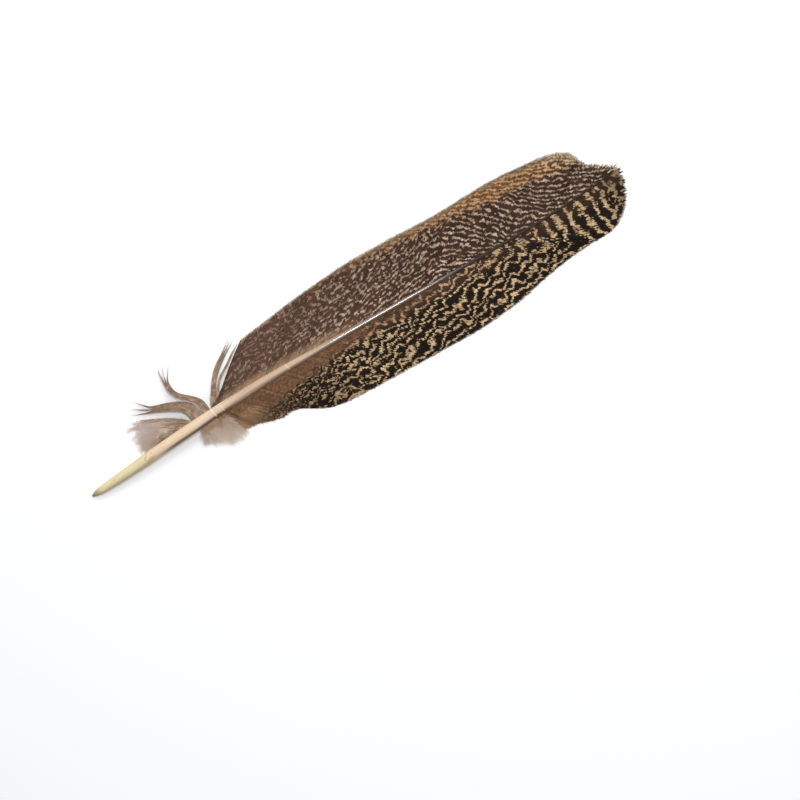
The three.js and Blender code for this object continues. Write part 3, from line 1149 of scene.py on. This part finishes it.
class FEATHER_OT_shaft(bpy.types.Operator):
    """Draw the quill and shaft out of a ring, station by station"""

    bl_idname = "feather.shaft"
    bl_label = "Shaft"

    def execute(self, context):
        stations = np.concatenate([
            [0, 0.35, 1.0, 2.2, 4, 7, 11, 16], np.arange(24, 76, 8.0), np.arange(78, 100, 5.0),
            np.arange(104, 300, 9.2), [299, 302],
        ])
        sideways, height, width, depth = track(SHAFT, stations).T
        width[:3] *= (0.45, 0.72, 0.92)
        depth[:3] *= (0.45, 0.72, 0.92)
        places = np.stack([stations - ORIGIN_STATION, sideways - ORIGIN_SIDEWAYS, height], 1) * MM
        deselect_all()
        bpy.ops.mesh.primitive_circle_add(
            vertices=16, radius=width[0] * MM / 2, fill_type="NGON",
            location=places[0], rotation=(0, math.pi / 2, 0),
        )
        shaft = context.object
        shaft.name = shaft.data.name = "horn_shaft"
        bpy.ops.object.transform_apply(location=True, rotation=True, scale=True)
        bpy.ops.object.mode_set(mode="EDIT")
        bpy.ops.mesh.select_all(action="SELECT")
        bpy.ops.transform.resize(
            value=(1.0, 1.0, depth[0] / width[0]), center_override=places[0],
        )
        for i in range(1, len(stations)):
            bpy.ops.mesh.extrude_region_move(
                TRANSFORM_OT_translate={"value": Vector(places[i] - places[i - 1])},
            )
            bpy.ops.transform.resize(
                value=(1.0, width[i] / width[i - 1], depth[i] / depth[i - 1]),
                center_override=places[i],
            )
            if GROOVE[0] <= stations[i] < GROOVE[1]:
                self.square_up(shaft, places[i], depth[i] * MM / 2)
        self.hollow_end(shaft)
        bpy.ops.mesh.select_all(action="SELECT")
        bpy.ops.mesh.normals_make_consistent(inside=False)
        bpy.ops.object.mode_set(mode="OBJECT")
        smooth = shaft.modifiers.new("round", "SUBSURF")
        smooth.levels = smooth.render_levels = 2
        bpy.ops.object.modifier_apply(modifier=smooth.name)
        bpy.ops.object.shade_smooth()
        self.mark_flanks(shaft.data)
        shaft.data.materials.append(horn_material(context.scene.feather_colours))
        finish_piece(shaft, "shaft")
        return {"FINISHED"}

    def square_up(self, shaft, centre, radius):
        """Flattens the back of the newest ring a little and pushes up the groove under it."""
        mesh = bmesh.from_edit_mesh(shaft.data)
        end = max(mesh.faces, key=lambda face: face.calc_center_median().x)
        for choose, factor, pivot in (
            (lambda share: share > 0.6, 0.94, 0.68),
            (lambda share: share < -0.85, 0.8, 0.0),
        ):
            chosen = [v for v in end.verts if choose((v.co.z - centre[2]) / radius)]
            bpy.ops.mesh.select_all(action="DESELECT")
            for vertex in chosen:
                vertex.select_set(True)
            bpy.ops.transform.resize(
                value=(1.0, 1.0, factor), center_override=centre + (0, 0, radius * pivot),
            )
            mesh = bmesh.from_edit_mesh(shaft.data)
            end = max(mesh.faces, key=lambda face: face.calc_center_median().x)
        bpy.ops.mesh.select_all(action="DESELECT")
        end.select_set(True)

    def hollow_end(self, shaft):
        """Sinks the small hole in the end of the quill."""
        mesh = bmesh.from_edit_mesh(shaft.data)
        start = min(mesh.faces, key=lambda face: face.calc_center_median().x)
        bpy.ops.mesh.select_all(action="DESELECT")
        start.select_set(True)
        bpy.ops.mesh.inset(thickness=0.12 * MM)
        bpy.ops.mesh.extrude_region_move(TRANSFORM_OT_translate={"value": (0.5 * MM, 0, 0)})

    def mark_flanks(self, mesh):
        """Station, and place from the right side (-1) to the left one (+1), at every point."""
        points = read_all(mesh.vertices, "co", width=3)
        points = points / MM + (ORIGIN_STATION, ORIGIN_SIDEWAYS, 0)
        sideways, _, width, _ = track(SHAFT, points[:, 0]).T
        for name, values in (
            ("station", points[:, 0]), ("side", (points[:, 1] - sideways) / (width / 2)),
        ):
            mesh.attributes.new(name, "FLOAT", "POINT").data.foreach_set("value", values)


class FEATHER_OT_webs(bpy.types.Operator):
    """Grow the barbs of both webs"""

    bl_idname = "feather.webs"
    bl_label = "Webs"

    def execute(self, context):
        shape, colours = context.scene.feather_shape, context.scene.feather_colours
        rng = np.random.default_rng(shape.seed)
        foot_rng = np.random.default_rng(shape.seed + 3)
        _, web = web_barbs(LEFT_WEB, LEFT, shape, rng, stretch=1.01)
        _, foot = web_barbs(LEFT_FOOT, LEFT, shape, foot_rng, stretch=1.0, rest=FOOT_REST)
        make_piece("left_web", join(web, foot), left_barb_material(colours))
        lines, web = web_barbs(RIGHT_WEB, RIGHT, shape, rng, stretch=0.98, slits=SLITS)
        hairs, grown = side_hairs(
            lines[:DOWNY_BARBS], rng, shape.down_pitch / MM, length=3.0, start=0.45, spread=0.6,
        )
        down = hair_fibres(hairs, grown, rng)
        make_piece("right_web", join(web, down), right_barb_material(colours))
        return {"FINISHED"}


class FEATHER_OT_strands(bpy.types.Operator):
    """Grow the loose strands of barbs at the foot of the left web"""

    bl_idname = "feather.strands"
    bl_label = "Loose strands"

    def execute(self, context):
        shape = context.scene.feather_shape
        rng = np.random.default_rng(shape.seed + 1)
        material = strand_material(context.scene.feather_colours)
        for name in STRANDS:
            strand_piece(name, material, shape, rng)
        return {"FINISHED"}


class FEATHER_OT_down(bpy.types.Operator):
    """Grow the tufts of down at the foot of both webs"""

    bl_idname = "feather.down"
    bl_label = "Down"

    def execute(self, context):
        shape, colours = context.scene.feather_shape, context.scene.feather_colours
        rng = np.random.default_rng(shape.seed + 2)
        hair = shape.down_hair / MM
        fan = down_fibres(down_barbs(LEFT_DOWN, LEFT, rng, **FAN), rng, shape, hair)
        cover = np.concatenate([
            down_barbs(LEFT_COVER, LEFT, rng, **COVER),
            down_barbs(LEFT_EDGE, LEFT, rng, **EDGE),
        ])
        widths = 0.5 * np.linspace(1, 0.3, cover.shape[1])[None] * np.ones((len(cover), 1))
        cover = fibres(
            cover, widths, widths * 0.4, RIBBON, rng.normal(0, 0.8, len(cover)),
            reach=run_lengths(cover) * 0.45,
        )
        make_piece(
            "left_down_tuft", join(fan, cover),
            down_material(
                "left down", colours, colours.down_cover, colours.down_outer, brown_edge=11.0,
            ),
        )
        tuft = down_barbs([*RIGHT_DOWN, RIGHT_DOWN_END], RIGHT, rng, **FAN)
        make_piece(
            "right_down_tuft", down_fibres(tuft, rng, shape, hair),
            down_material("right down", colours, colours.down_tan, colours.down_cream),
        )
        return {"FINISHED"}


STEPS = (
    FEATHER_OT_stage,
    FEATHER_OT_shaft,
    FEATHER_OT_webs,
    FEATHER_OT_strands,
    FEATHER_OT_down,
)


class VIEW3D_PT_feather(bpy.types.Panel):
    """Lists the steps that build the feather"""

    bl_label = "Pheasant feather"
    bl_space_type = "VIEW_3D"
    bl_region_type = "UI"
    bl_category = "Feather"

    def draw(self, context):
        for step in STEPS:
            self.layout.operator(step.bl_idname)


SETTINGS = {
    "feather_shape": FeatherShape,
    "feather_colours": FeatherColours,
    "feather_stage": FeatherStage,
}


def register():
    for name, group in SETTINGS.items():
        bpy.utils.register_class(group)
        setattr(bpy.types.Scene, name, bpy.props.PointerProperty(type=group))
    for step in (*STEPS, VIEW3D_PT_feather):
        bpy.utils.register_class(step)


def unregister():
    for step in reversed((*STEPS, VIEW3D_PT_feather)):
        bpy.utils.unregister_class(step)
    for name, group in SETTINGS.items():
        delattr(bpy.types.Scene, name)
        bpy.utils.unregister_class(group)


def main():
    register()
    bpy.ops.feather.stage()
    bpy.ops.feather.shaft()
    bpy.ops.feather.webs()
    bpy.ops.feather.strands()
    bpy.ops.feather.down()


if __name__ == "__main__":
    main()
